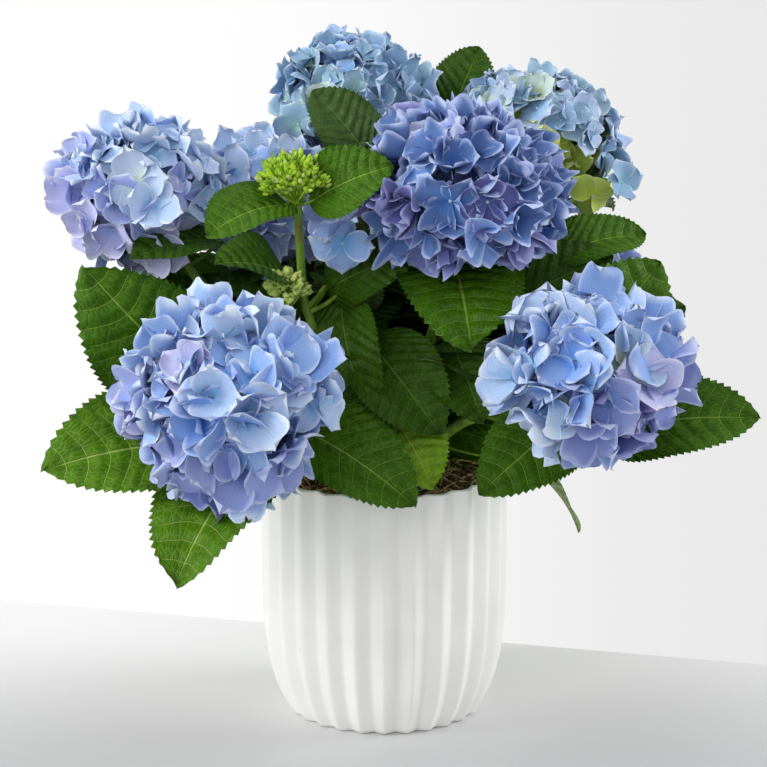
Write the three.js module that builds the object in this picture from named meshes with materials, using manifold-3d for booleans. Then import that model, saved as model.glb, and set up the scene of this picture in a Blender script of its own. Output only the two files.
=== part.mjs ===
// A mophead hydrangea in flower in a fluted white ceramic pot. Millimetres, +Z up, front towards -Y.
// The origin is the middle of the pot's flat underside.
import * as THREE from "three";
import { mergeVertices } from "three/addons/utils/BufferGeometryUtils.js";
import Module from "manifold-3d";

const wasm = await Module();
wasm.setup();

// Driving dimensions.
const gap = 0.6; // clearance left between neighbouring solids
const fineness = 0.05; // how far a cut solid's surface may move when it is thinned out
const pot = {
  height: 184,
  rimRadius: 90,
  footRadius: 69,
  wall: 6,
  floor: 9,
  ribs: 26,
  ribDepth: 3.6,
  bellyPower: 6, // how late the side leans in towards the foot
  innerRings: [0.45, 0.18], // heights of the rings on the inner side, as shares of the height
};
const soil = { edge: 178, shoulder: 185, crown: 187, sides: 36 };
const rib = { steps: 4, rings: 5, crowding: 1.7 }; // crowding: how much closer the rings are at the foot
const limb = { sides: 6, steps: 7 };
const pad = {
  around: 8,
  along: 6,
  thick: 15,
  arch: 0.13, // rise of the middle, as a share of the length
  ruffle: 0.09, // unevenness, as a share of the thickness
  waves: [9, 4], // how quickly that changes along and across
  fullness: [1.22, 0.72], // width near the stalk and near the tip, against an even oval
};
const smallHead = 40; // heads of a smaller radius have coarser faces
const bloomLumps = { size: 0.055, count: 4 };
const coreLumps = { size: 0.12, count: 5 };

const finish = {
  ceramic: new THREE.MeshStandardMaterial({ color: 0xeeede8, roughness: 0.55, metalness: 0 }),
  soil: new THREE.MeshStandardMaterial({ color: 0x4a3626, roughness: 1, metalness: 0 }),
  stem: new THREE.MeshStandardMaterial({ color: 0x6d8a3a, roughness: 0.6, metalness: 0 }),
  leaf: new THREE.MeshStandardMaterial({ color: 0x2f6b22, roughness: 0.5, metalness: 0 }),
  bloom: new THREE.MeshStandardMaterial({ color: 0x7f93dc, roughness: 0.7, metalness: 0 }),
  bud: new THREE.MeshStandardMaterial({ color: 0xa9cf4a, roughness: 0.7, metalness: 0 }),
};

// Flower heads: centre, radius, the way the crown of the head faces, how much the far side is drawn in,
// and for a low head its height against its width.
const blooms = [
  { name: "bloom_left", at: [-182, -20, 392], radius: 61, faces: [-0.5, -0.35, 0.8], under: 0.85 },
  { name: "bloom_mid_left", at: [-88, 45, 376], radius: 60, faces: [-0.1, -0.3, 0.95], under: 0.75 },
  { name: "bloom_top", at: [-23, 110, 440], radius: 65, faces: [-0.05, 0.05, 1], under: 0.6, tall: 0.84 },
  { name: "bloom_centre", at: [65, -45, 392], radius: 79,
    faces: [0.1, -0.6, 0.8], under: 0.7, tall: 0.92 },
  { name: "bloom_top_right", at: [115, 95, 405], radius: 72,
    faces: [0.35, 0.3, 0.9], under: 0.4, tall: 0.95 },
  { name: "bloom_low_left", at: [-106, -150, 271], radius: 82, faces: [-0.35, -0.85, 0.4], under: 0.7 },
  { name: "bloom_low_right", at: [143, -125, 284], radius: 76,
    faces: [0.3, -0.75, 0.6], under: 0.6, tall: 0.9 },
  { name: "bloom_back_left", at: [-76, 140, 268], radius: 52, faces: [-0.4, 0.85, 0.35], under: 0.7 },
  { name: "bloom_back_right", at: [142, 122, 280], radius: 56, faces: [0.6, 0.7, 0.4], under: 0.7 },
  { name: "bloom_back", at: [24, 176, 352], radius: 58, faces: [0.1, 0.85, 0.5], under: 0.7 },
];

const budHeads = [
  { name: "bud_head", at: [-62, -70, 407], radius: 27, faces: [0, -0.3, 1], under: 0.55 },
  { name: "bud_head_small", at: [-68, -62, 327], radius: 15, faces: [-0.4, -0.5, 0.7], under: 0.8 },
];

// Stems, from just under the soil up into their flower head: points, then the radius at both ends.
const stems = [
  { name: "stem_left", path: [[-16, -6], [-52, -16, 232], [-118, -28, 310], [-182, -20, 392]],
    thick: [4.6, 2.6] },
  { name: "stem_mid_left", path: [[-10, 8], [-30, 20, 240], [-66, 34, 320], [-88, 45, 376]],
    thick: [4.6, 2.6] },
  { name: "stem_top", path: [[-2, 14], [-6, 42, 250], [-14, 80, 350], [-23, 110, 440]], thick: [5, 2.6] },
  { name: "stem_centre", path: [[8, -8], [24, -14, 250], [44, -20, 320], [65, -45, 392]],
    thick: [5, 2.8] },
  { name: "stem_top_right", path: [[16, 10], [46, 34, 260], [84, 62, 340], [120, 96, 405]],
    thick: [4.8, 2.6] },
  { name: "stem_low_left", path: [[-9, -16], [-34, -48, 218], [-66, -88, 244], [-106, -150, 271]],
    thick: [4.4, 2.8] },
  { name: "stem_low_right", path: [[15, -15], [48, -42, 222], [92, -76, 252], [143, -125, 284]],
    thick: [4.4, 2.8] },
  { name: "stem_back_left", path: [[-13, 20], [-30, 54, 218], [-50, 92, 242], [-76, 140, 268]],
    thick: [4.2, 2.6] },
  { name: "stem_back_right", path: [[20, 20], [52, 48, 224], [92, 82, 252], [142, 122, 280]],
    thick: [4.2, 2.6] },
  { name: "stem_back", path: [[4, 24], [10, 62, 232], [16, 116, 292], [24, 176, 352]],
    thick: [4.4, 2.6] },
  { name: "stem_bud", path: [[-7, -1], [-34, -26, 250], [-58, -56, 325], [-62, -70, 407]],
    thick: [4, 2.2] },
];

// Leaf pads: from the stalk end to the tip, the full width, and the way the upper side faces.
const pads = [
  // round the green bud
  { name: "leaves_bud_left", from: [-66, -74, 392], to: [-122, -118, 377],
    wide: 52, faces: [-0.2, -0.6, 0.8] },
  { name: "leaves_bud_right", from: [-53, -74, 392], to: [8, -84, 421], wide: 52, faces: [0, -0.8, 0.6] },
  // left side, from high to low
  { name: "leaves_left_high", from: [-116, -34, 358], to: [-177, -78, 353],
    wide: 48, faces: [-0.2, -0.4, 0.9] },
  { name: "leaves_left_mid", from: [-134, -44, 258], to: [-210, -80, 350],
    wide: 80, faces: [-0.3, -0.9, 0.4] },
  { name: "leaves_left_back", from: [-104, -6, 262], to: [-224, -34, 322],
    wide: 70, faces: [-0.4, -0.5, 0.8] },
  { name: "leaves_left_low", from: [-122, -80, 226], to: [-237, -140, 218],
    wide: 74, faces: [-0.1, -0.75, 0.6] },
  { name: "leaves_left_under", from: [-84, -100, 220], to: [-142, -190, 152],
    wide: 82, faces: [-0.3, -0.6, 0.75] },
  // the middle, from high to low
  { name: "leaves_top_mid", from: [-6, 2, 406], to: [-54, 24, 460], wide: 52, faces: [0.2, -0.9, 0.4] },
  { name: "leaves_top_back", from: [46, 116, 418], to: [72, 134, 478],
    wide: 54, faces: [0.1, -0.9, 0.4] },
  { name: "leaves_bud_lower_left", from: [-70, -50, 336], to: [-118, -86, 352],
    wide: 54, faces: [-0.2, -0.6, 0.8] },
  { name: "leaves_bud_lower_right", from: [-46, -48, 328], to: [26, -80, 362],
    wide: 52, faces: [0.1, -0.8, 0.6] },
  { name: "leaves_mid_left", from: [-32, -38, 320], to: [-10, -74, 236],
    wide: 60, faces: [-0.4, -0.9, 0.1] },
  { name: "leaves_mid", from: [-12, -42, 288], to: [40, -80, 228], wide: 66, faces: [0.1, -0.9, 0.3] },
  { name: "leaves_under_centre", from: [50, -18, 340], to: [61, -96, 292],
    wide: 92, faces: [0, -0.6, 0.8] },
  { name: "leaves_mid_right", from: [48, -34, 286], to: [70, -78, 236], wide: 60, faces: [0, -0.9, 0.3] },
  { name: "leaves_front_left", from: [-62, -66, 230], to: [22, -112, 184],
    wide: 66, faces: [-0.1, -0.7, 0.8] },
  { name: "leaves_front", from: [4, -54, 238], to: [35, -94, 192], wide: 56, faces: [0.2, -0.9, 0.4] },
  // right side, from high to low
  { name: "leaves_right_high", from: [116, -14, 342], to: [190, 4, 355],
    wide: 44, faces: [0.1, -0.6, 0.8] },
  { name: "leaves_right_inner", from: [84, -26, 306], to: [165, -16, 345],
    wide: 56, faces: [0, -0.8, 0.5] },
  { name: "leaves_right_mid", from: [128, -42, 262], to: [198, -22, 342],
    wide: 80, faces: [0.2, -0.9, 0.3] },
  { name: "leaves_right_outer", from: [132, -8, 258], to: [220, 2, 304],
    wide: 72, faces: [0.3, -0.6, 0.7] },
  { name: "leaves_right_far", from: [152, -72, 226], to: [264, -96, 244],
    wide: 70, faces: [0, -0.75, 0.65] },
  { name: "leaves_right_low", from: [134, -58, 238], to: [66, -116, 194],
    wide: 66, faces: [0.2, -0.8, 0.6] },
  { name: "leaves_right_under", from: [92, -50, 202], to: [137, -106, 164],
    wide: 40, faces: [-0.5, -0.6, 0.6] },
  // behind
  { name: "leaves_back_low_left", from: [-62, 86, 232], to: [-168, 132, 198],
    wide: 80, faces: [-0.2, 0.5, 0.8] },
  { name: "leaves_back_low", from: [-6, 98, 224], to: [-4, 206, 176], wide: 84, faces: [0, 0.6, 0.8] },
  { name: "leaves_back_low_right", from: [74, 92, 228], to: [168, 152, 190],
    wide: 80, faces: [0.3, 0.5, 0.8] },
  { name: "leaves_back_left", from: [-72, 72, 310], to: [-176, 128, 318],
    wide: 80, faces: [-0.3, 0.4, 0.9] },
  { name: "leaves_back_high", from: [-28, 124, 366], to: [-88, 186, 380],
    wide: 74, faces: [-0.2, 0.5, 0.8] },
  { name: "leaves_back_right", from: [96, 100, 336], to: [176, 168, 348],
    wide: 78, faces: [0.3, 0.5, 0.8] },
];

// The dense leaves round the stems in the middle of the plant: centre, half sizes.
const cores = [
  { name: "leaves_core_left", at: [-66, 0, 272], half: [52, 44, 46] },
  { name: "leaves_core_right", at: [70, 18, 276], half: [54, 46, 50] },
  { name: "leaves_core_back", at: [0, 76, 300], half: [56, 40, 58] },
];

// A point in space from its coordinates; with no height given it lies at the edge of the soil.
function point([x, y, z = soil.edge]) {
  return new THREE.Vector3(x, y, z);
}

// A smooth three-way wave over a direction, used to make a solid uneven; the phase sets it apart.
function wave(v, count, phase) {
  const [a, b, c] = [v.x, v.y, v.z].map((value, i) => Math.sin(value * count + phase * (i + 1)));
  return a * b * c;
}

// Moves every vertex of a geometry by a rule.
function reshape(geometry, rule) {
  const spots = geometry.getAttribute("position");
  const v = new THREE.Vector3();
  for (let i = 0; i < spots.count; i++) {
    v.fromBufferAttribute(spots, i);
    rule(v);
    spots.setXYZ(i, v.x, v.y, v.z);
  }
  return geometry;
}

// A closed three.js geometry as a solid that can be cut, grown all round by a distance.
function solidFrom(geometry, grow = 0) {
  const bare = geometry.clone();
  bare.deleteAttribute("normal");
  bare.deleteAttribute("uv");
  const merged = mergeVertices(bare, 1e-3);
  merged.computeVertexNormals();
  const outward = merged.getAttribute("normal").array;
  merged.getAttribute("position").array.forEach((value, i, spots) => {
    spots[i] = value + outward[i] * grow;
  });
  const mesh = new wasm.Mesh({
    numProp: 3,
    vertProperties: new Float32Array(merged.getAttribute("position").array),
    triVerts: new Uint32Array(merged.index.array),
  });
  return new wasm.Manifold(mesh);
}

// The pot's outer radius at a height, without its ribs.
function potRadius(z) {
  const lean = Math.pow(1 - z / pot.height, pot.bellyPower);
  return pot.rimRadius - (pot.rimRadius - pot.footRadius) * lean;
}

// Pot: a turned shell whose outer side is drawn in between upright ribs. The front carries a rib.
function makePot() {
  const profile = [new THREE.Vector2(0, 0)];
  for (let i = 0; i <= rib.rings; i++) {
    const z = pot.height * Math.pow(i / rib.rings, rib.crowding);
    profile.push(new THREE.Vector2(potRadius(z), z));
  }
  profile.push(new THREE.Vector2(pot.rimRadius - pot.wall, pot.height));
  for (const z of [...pot.innerRings.map((share) => share * pot.height), pot.floor]) {
    profile.push(new THREE.Vector2(potRadius(z) - pot.wall, z));
  }
  profile.push(new THREE.Vector2(0, pot.floor));
  const turned = new THREE.LatheGeometry(profile, pot.ribs * rib.steps);
  turned.rotateX(Math.PI / 2);
  reshape(turned, (v) => {
    const radius = Math.hypot(v.x, v.y);
    if (radius < potRadius(v.z) - pot.wall / 2) return;
    const turn = (Math.atan2(-v.y, v.x) - Math.PI / 2) * (pot.ribs / (2 * Math.PI));
    const valley = 2 * Math.abs(turn - Math.round(turn));
    const scale = 1 - (pot.ribDepth * valley) / radius;
    v.x *= scale;
    v.y *= scale;
  });
  return turned;
}

// Soil and moss: fills the pot and is crowned a little in the middle.
function makeSoil() {
  const clear = pot.wall + 2 * gap;
  const bottom = pot.floor + 2 * gap;
  const profile = [new THREE.Vector2(0, bottom)];
  for (const z of [bottom, pot.innerRings[1] * pot.height, pot.innerRings[0] * pot.height, soil.edge]) {
    profile.push(new THREE.Vector2(potRadius(z) - clear, z));
  }
  profile.push(new THREE.Vector2(pot.rimRadius / 2, soil.shoulder));
  profile.push(new THREE.Vector2(0, soil.crown));
  return new THREE.LatheGeometry(profile, soil.sides).rotateX(Math.PI / 2);
}

// Stem: a cylinder that tapers and follows a smooth curve through its points.
function makeStem({ path, thick }) {
  const curve = new THREE.CatmullRomCurve3(path.map(point));
  const frames = curve.computeFrenetFrames(limb.steps, false);
  const tube = new THREE.CylinderGeometry(1, 1, 1, limb.sides, limb.steps);
  reshape(tube, (v) => {
    const t = v.y + 0.5;
    const i = Math.round(t * limb.steps);
    const radius = THREE.MathUtils.lerp(thick[0], thick[1], t);
    const [across, up] = [v.x * radius, -v.z * radius];
    v.copy(curve.getPointAt(t));
    v.addScaledVector(frames.normals[i], across);
    v.addScaledVector(frames.binormals[i], up);
  });
  return tube;
}

// Flower head: an uneven globe, drawn in on the side that its stem comes from.
function makeBloom({ at, radius, faces, under, tall = 1 }) {
  const axis = new THREE.Vector3(...faces).normalize();
  const ball = new THREE.IcosahedronGeometry(1, radius > smallHead ? 2 : 1);
  reshape(ball, (v) => {
    const depth = v.dot(axis);
    const lump = 1 + bloomLumps.size * wave(v, bloomLumps.count, radius);
    if (depth < 0) v.addScaledVector(axis, -depth * (1 - under));
    v.multiplyScalar(radius * lump);
    v.z *= tall;
    v.add(point(at));
  });
  return ball;
}

// Leaf pad: a flat ball drawn out to a point at its tip, arched along its length and ruffled.
function makePad({ from, to, wide, faces }) {
  const base = point(from);
  const along = point(to).sub(base);
  const length = along.length();
  along.normalize();
  const side = new THREE.Vector3(...faces).cross(along).normalize();
  const up = new THREE.Vector3().crossVectors(along, side);
  const ball = new THREE.SphereGeometry(1, pad.around, pad.along);
  reshape(ball, (v) => {
    const t = (1 - v.y) / 2;
    const fullness = THREE.MathUtils.lerp(pad.fullness[0], pad.fullness[1], t);
    const [across, through] = [v.x, v.z];
    const arch = length * pad.arch * 4 * t * (1 - t);
    const ruffle = pad.thick * pad.ruffle * Math.sin(pad.waves[0] * t + pad.waves[1] * across + length);
    v.copy(base).addScaledVector(along, length * t);
    v.addScaledVector(side, across * (wide / 2) * fullness);
    v.addScaledVector(up, through * (pad.thick / 2) + arch + ruffle);
  });
  return ball;
}

// Core mass: an uneven ball of three half sizes.
function makeCore({ at, half }) {
  const ball = new THREE.IcosahedronGeometry(1, 2);
  reshape(ball, (v) => {
    const lump = 1 + coreLumps.size * wave(v, coreLumps.count, half[0]);
    v.multiply(point(half)).multiplyScalar(lump).add(point(at));
  });
  return ball;
}

// Whether two boxes meet.
function boxesMeet(a, b) {
  return [0, 1, 2].every((i) => a.min[i] < b.max[i] && b.min[i] < a.max[i]);
}

const object = new THREE.Group();
const settled = []; // each piece made so far, grown by the gap, that later pieces are cut back from

// Makes one named mesh: cuts a shape back from the settled ones and keeps its largest body.
function place(group, name, material, shape) {
  let solid = solidFrom(shape);
  for (const other of settled) {
    if (boxesMeet(solid.boundingBox(), other.boundingBox())) solid = solid.subtract(other);
  }
  settled.push(solidFrom(shape, gap).add(solidFrom(shape)));
  const [body] = solid.decompose().sort((a, b) => b.volume() - a.volume());
  const { vertProperties, triVerts } = body.simplify(fineness).getMesh();
  const geometry = new THREE.BufferGeometry();
  geometry.setAttribute("position", new THREE.BufferAttribute(new Float32Array(vertProperties), 3));
  geometry.setIndex(new THREE.BufferAttribute(new Uint32Array(triVerts), 1));
  geometry.computeBoundingBox();
  const middle = geometry.boundingBox.getCenter(new THREE.Vector3()).round();
  geometry.translate(-middle.x, -middle.y, -middle.z);
  const mesh = new THREE.Mesh(geometry, material);
  mesh.name = name;
  mesh.position.copy(middle);
  group.add(mesh);
}

function addGroup() {
  const group = new THREE.Group();
  object.add(group);
  return group;
}

const container = addGroup();
place(container, "pot", finish.ceramic, makePot());
place(container, "soil", finish.soil, makeSoil());

const flowers = addGroup();
for (const head of blooms) place(flowers, head.name, finish.bloom, makeBloom(head));
for (const head of budHeads) place(flowers, head.name, finish.bud, makeBloom(head));

const wood = addGroup();
for (const stem of stems) place(wood, stem.name, finish.stem, makeStem(stem));

const foliage = addGroup();
for (const spray of pads) place(foliage, spray.name, finish.leaf, makePad(spray));
for (const core of cores) place(foliage, core.name, finish.leaf, makeCore(core));

export default object;
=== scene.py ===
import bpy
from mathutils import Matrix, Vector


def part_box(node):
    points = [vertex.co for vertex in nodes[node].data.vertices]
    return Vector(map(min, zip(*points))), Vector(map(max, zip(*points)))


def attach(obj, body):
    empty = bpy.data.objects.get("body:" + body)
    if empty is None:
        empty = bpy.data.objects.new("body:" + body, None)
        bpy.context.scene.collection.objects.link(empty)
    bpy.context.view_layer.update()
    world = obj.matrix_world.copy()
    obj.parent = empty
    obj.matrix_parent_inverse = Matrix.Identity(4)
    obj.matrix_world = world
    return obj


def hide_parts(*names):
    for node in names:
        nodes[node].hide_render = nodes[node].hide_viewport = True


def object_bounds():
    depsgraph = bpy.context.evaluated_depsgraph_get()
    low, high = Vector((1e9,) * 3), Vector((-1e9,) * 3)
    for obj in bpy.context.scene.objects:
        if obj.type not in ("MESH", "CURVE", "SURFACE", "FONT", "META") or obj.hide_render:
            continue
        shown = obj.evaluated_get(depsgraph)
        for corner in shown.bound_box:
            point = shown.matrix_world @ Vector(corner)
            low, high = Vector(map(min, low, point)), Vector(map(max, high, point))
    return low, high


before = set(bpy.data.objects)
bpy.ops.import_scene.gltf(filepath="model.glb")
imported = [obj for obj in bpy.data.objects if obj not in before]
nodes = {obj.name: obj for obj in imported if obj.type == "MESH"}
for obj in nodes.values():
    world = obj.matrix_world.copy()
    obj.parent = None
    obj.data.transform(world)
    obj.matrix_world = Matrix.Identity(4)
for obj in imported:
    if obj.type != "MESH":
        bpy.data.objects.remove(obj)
cadBounds = [list(corner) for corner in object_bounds()]

import math

import bpy
import numpy as np
from mathutils import Vector
from mathutils.bvhtree import BVHTree

rng = np.random.default_rng(27)
scene = bpy.context.scene
scene.view_settings.view_transform = "Standard"
tileEdge = 0.04  # the free edge round each material's tile in a piece's map
print("frame loaded:", len(nodes), "nodes")


def unit(v):
    v = np.asarray(v, float)
    return v / np.linalg.norm(v)


boxes = {name: [np.array(corner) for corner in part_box(name)] for name in nodes}


def inBox(node, share):  # a point in a node's box, given as a share of each side
    low, high = boxes[node]
    return low + (high - low) * np.array(share, float)


def nodePoints(node):
    mesh = nodes[node].data
    spots = np.empty(len(mesh.vertices) * 3)
    mesh.vertices.foreach_get("co", spots)
    return spots.reshape(-1, 3)


def tint(hexCode):  # a colour code in linear light values
    parts = [int(hexCode[i:i + 2], 16) / 255 for i in (0, 2, 4)]
    return [p / 12.92 if p <= 0.04045 else ((p + 0.055) / 1.055) ** 2.4 for p in parts] + [1.0]


def smoothPath(points, count):  # a rounded line through a few points, evenly stepped
    p = np.asarray(points, float)
    p = np.vstack([2 * p[0] - p[1], p, 2 * p[-1] - p[-2]])
    out = []
    for t in np.linspace(0, len(p) - 3 - 1e-9, count):
        i = int(t)
        f = t - i
        a, b, c, d = p[i:i + 4]
        out.append(0.5 * (2 * b + (c - a) * f + (2 * a - 5 * b + 4 * c - d) * f * f
                          + (3 * b - a - 3 * c + d) * f ** 3))
    return np.array(out)


def gridQuads(rows, columns, wide):  # the faces of a grid of points, wide points to a row
    i, j = np.meshgrid(np.arange(rows), np.arange(columns), indexing="ij")
    k = (j + 1) % wide
    return np.stack([i * wide + j, (i + 1) * wide + j, (i + 1) * wide + k, i * wide + k], -1).reshape(-1, 4)


def newStore():  # loose geometry that is gathered here and joined into one piece
    return {"spots": [], "quads": [], "uv": [], "slots": [], "count": 0}


def gather(store, spots, quads, uv, slot):
    spots = np.asarray(spots, float).reshape(-1, 3)
    quads = np.asarray(quads, int).reshape(-1, 4)
    store["spots"].append(spots)
    store["quads"].append(quads + store["count"])
    store["uv"].append(np.asarray(uv, float).reshape(-1, 2)[quads.ravel()])
    store["slots"].append(np.broadcast_to(slot, len(quads)))
    store["count"] += len(spots)


def joinPiece(name, store, materials):
    spots, quads = np.vstack(store["spots"]), np.vstack(store["quads"])
    uv, slots = np.vstack(store["uv"]), np.concatenate(store["slots"])
    used = sorted(set(slots.tolist()))  # only the materials that the piece shows
    mesh = bpy.data.meshes.new(name)
    mesh.vertices.add(len(spots))
    mesh.vertices.foreach_set("co", spots.ravel())
    mesh.loops.add(quads.size)
    mesh.loops.foreach_set("vertex_index", quads.ravel())
    mesh.polygons.add(len(quads))
    mesh.polygons.foreach_set("loop_start", np.arange(0, quads.size, 4))
    mesh.polygons.foreach_set("loop_total", np.full(len(quads), 4))
    mesh.polygons.foreach_set("use_smooth", np.ones(len(quads), bool))
    newIndex = {old: new for new, old in enumerate(used)}
    packed = np.array([newIndex[s] for s in slots.tolist()])
    mesh.polygons.foreach_set("material_index", packed)
    grid = math.ceil(math.sqrt(len(used)))  # one tile of the first map for each material
    tile = np.repeat(packed, 4)
    corner = np.column_stack([tile % grid, tile // grid])
    bake = mesh.uv_layers.new(name="OFBake")
    bake.data.foreach_set("uv", ((corner + tileEdge + (1 - 2 * tileEdge) * uv) / grid).ravel())
    blade = mesh.uv_layers.new(name="blade")
    blade.data.foreach_set("uv", uv.ravel())
    for slot in used:
        mesh.materials.append(materials[slot])
    mesh.update()
    mesh.validate()
    piece = bpy.data.objects.new(name, mesh)
    scene.collection.objects.link(piece)
    return piece


def rod(store, path, radii, sides, slot):  # a round stalk along a path, closed at both ends
    path = np.asarray(path, float)
    radii = np.broadcast_to(radii, len(path))[:, None, None]
    along = np.gradient(path, axis=0)
    along /= np.linalg.norm(along, axis=1)[:, None]
    guide = np.array([0.31, 0.22, 0.93]) if abs(along[0][2]) < 0.8 else np.array([0.9, 0.4, 0.1])
    across = np.cross(along, guide)
    across /= np.linalg.norm(across, axis=1)[:, None]
    up = np.cross(across, along)
    turn = np.arange(sides) * 2 * math.pi / sides
    ring = np.cos(turn)[:, None] * across[:, None] + np.sin(turn)[:, None] * up[:, None]
    spots = path[:, None] + ring * radii
    quads = gridQuads(len(path) - 1, sides, sides)
    last = (len(path) - 1) * sides
    caps = []
    for s in range(1, sides - 2, 2):
        caps.append([0, s, s + 1, s + 2])
        caps.append([last, last + s + 2, last + s + 1, last + s])
    far, about = np.linspace(0, 1, len(path)), np.abs(np.linspace(-1, 1, sides))
    uv = np.stack(np.meshgrid(far, about, indexing="ij"), -1)
    gather(store, spots, np.vstack([quads, caps]), uv, slot)


def wire(tree, node, inputs):  # links the sockets among the inputs and sets the plain values
    for key, value in inputs.items():
        if isinstance(value, bpy.types.NodeSocket):
            tree.links.new(value, node.inputs[key])
        else:
            node.inputs[key].default_value = value


def addNode(tree, kind, inputs=None, **settings):
    node = tree.nodes.new(kind)
    for key, value in settings.items():
        setattr(node, key, value)
    wire(tree, node, inputs or {})
    return node


def maths(tree, operation, a, b=0.0):
    return addNode(tree, "ShaderNodeMath", {0: a, 1: b}, operation=operation).outputs[0]


def plus(tree, a, b):
    return maths(tree, "ADD", a, b)


def minus(tree, a, b):
    return maths(tree, "SUBTRACT", a, b)


def times(tree, a, b):
    return maths(tree, "MULTIPLY", a, b)


def ramp(tree, value, low, high, start=0.0, end=1.0):  # a smooth step between two values
    steps = {0: value, 1: low, 2: high, 3: start, 4: end}
    return addNode(tree, "ShaderNodeMapRange", steps, interpolation_type="SMOOTHSTEP").outputs[0]


def blendColours(tree, factor, a, b):
    return addNode(tree, "ShaderNodeMix", {0: factor, 6: a, 7: b}, data_type="RGBA").outputs[2]


def noise(tree, place, scale, detail=2.0):
    return addNode(tree, "ShaderNodeTexNoise", {"Vector": place, "Scale": scale, "Detail": detail}).outputs[0]


def objectPlace(tree):
    return addNode(tree, "ShaderNodeTexCoord").outputs["Object"]


def newGroup(name, colours, outputs):  # a node group that takes colours
    tree = bpy.data.node_groups.new(name, "ShaderNodeTree")
    for label in colours:
        tree.interface.new_socket(label, in_out="INPUT", socket_type="NodeSocketColor")
    for label, kind in outputs.items():
        tree.interface.new_socket(label, in_out="OUTPUT", socket_type="NodeSocket" + kind)
    return tree, addNode(tree, "NodeGroupInput").outputs, addNode(tree, "NodeGroupOutput")


def bladePosition(tree):  # across and along a petal or leaf, both 0 to 1, and the distance off its midrib
    uv = addNode(tree, "ShaderNodeUVMap", uv_map="blade").outputs[0]
    across, along = addNode(tree, "ShaderNodeSeparateXYZ", {0: uv}).outputs[:2]
    off = times(tree, maths(tree, "ABSOLUTE", minus(tree, across, 0.5)), 2.0)
    return uv, across, along, off


def newMaterial(name):
    made = bpy.data.materials.new(name)
    made.use_nodes = True
    return made, made.node_tree, made.node_tree.nodes["Principled BSDF"]


def bumpFrom(tree, shader, height, distance, strength):
    bump = addNode(tree, "ShaderNodeBump", {"Height": height, "Distance": distance, "Strength": strength})
    tree.links.new(bump.outputs[0], shader.inputs["Normal"])


petalLook = {"labels": ("Centre", "Body", "RimAndHighlight"), "cloudScale": 3.2, "cloudShift": 0.25,
             "heart": (0.08, 0.55), "heartShare": 0.9, "rim": (0.76, 1.0), "rimAndHighlightShare": 0.95, "veins": 40.0,
             "veinWander": 9.0, "veinWidth": 0.35, "veinShare": 0.14, "cloudRelief": 3.0, "roughness": 0.62,
             "specular": 0.3, "sheen": 0.15, "bump": (0.0004, 0.5)}
petalColours = {  # centre, body and rim of a floret; the pale rim is partly the sepal's own paler edge and partly painted highlight
    "sky": ("94c8ee", "b8cff0", "dde9fa"),
    "skyDeep": ("70b0ea", "9cbcee", "d6e5fb"),
    "cornflower": ("649ee4", "8aabe6", "ccdaf8"),
    "periwinkle": ("90b4ea", "a6b4e8", "d2dcf7"),
    "lavender": ("a6b8ea", "bcbee8", "e0e1f6"),
    "violet": ("687cc4", "7f89ca", "b0b9e6"),
    "violetPale": ("7896da", "8e9ed8", "c3cef2"),
    "steel": ("80b4cc", "8dafd2", "c0d5ec"),
    "teal": ("aad4c8", "9fc0d8", "c8dfec"),
    "mint": ("dae8a8", "c6dcd4", "e0ece8"),
    "lime": ("c4d848", "b8cf5c", "dbe39c"),
    "pale": ("d8ead8", "bdd2ee", "dce8f8"),
    "fresh": ("e4f0b8", "b4d0ea", "d2e2f6"),
    "deep": ("4a82c6", "5f80bc", "bccbf2"),
    "deepViolet": ("5264a6", "6869a8", "acb0e0"),
    "purple": ("7a80cc", "9488cc", "c0b4e4"),
}


def buildPetalGroup():
    look = petalLook
    tree, given, out = newGroup("petalShade", look["labels"], {"Color": "Color", "Height": "Float"})
    uv, across, along, off = bladePosition(tree)
    cloud = noise(tree, uv, look["cloudScale"])
    reach = plus(tree, along, times(tree, minus(tree, cloud, 0.5), look["cloudShift"]))
    heart = ramp(tree, reach, *look["heart"], 1.0, 0.0)
    # paler toward the edges and the tip: partly the sepal's own pale rim, partly painted highlight
    rim = ramp(tree, maths(tree, "MAXIMUM", off, along), *look["rim"])
    fan = times(tree, minus(tree, across, 0.5), look["veins"])
    fan = plus(tree, fan, times(tree, cloud, look["veinWander"]))
    vein = ramp(tree, maths(tree, "ABSOLUTE", maths(tree, "SINE", fan)), 0.0, look["veinWidth"], 1.0, 0.0)
    colour = blendColours(tree, times(tree, heart, look["heartShare"]), given["Body"], given["Centre"])
    colour = blendColours(tree, times(tree, rim, look["rimAndHighlightShare"]), colour, given["RimAndHighlight"])
    colour = blendColours(tree, times(tree, vein, look["veinShare"]), colour, given["Centre"])
    relief = minus(tree, times(tree, cloud, look["cloudRelief"]), vein)
    wire(tree, out, {"Color": colour, "Height": relief})
    return tree


# "base" and "point" round a leaf's outline toward its foot and its tip; the veins also shape its surface.
leafShape = {"veins": 8, "veinLean": 0.6, "veinBow": 1.4, "base": 0.5, "point": 0.74, "toothOut": 0.026,
             "toothForward": 0.016, "sweep": 0.06, "quilt": 0.017, "groove": 0.02, "edgeWave": 0.035,
             "sway": 0.03, "thick": 0.0004}
leafLook = {"labels": ("Blade", "Deep", "Vein"), "wobbleScale": 5.0, "wobble": 0.14,
            "sideVein": (0.466, 0.49), "sideFade": (0.75, 1.0, 1.0, 0.15), "midrib": (0.012, 0.036),
            "netScale": 17.0, "net": 0.06, "netShare": 0.26, "blister": 0.3, "blotch": (0.35, 0.7),
            "blotchShare": 0.55, "veinShare": 0.8, "quiltRelief": 0.6, "blisterRelief": 0.18,
            "veinRelief": 0.6, "roughness": (0.4, 0.16), "specular": 0.16, "sheen": 0.0,
            "bump": (0.0020, 0.85)}
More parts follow.
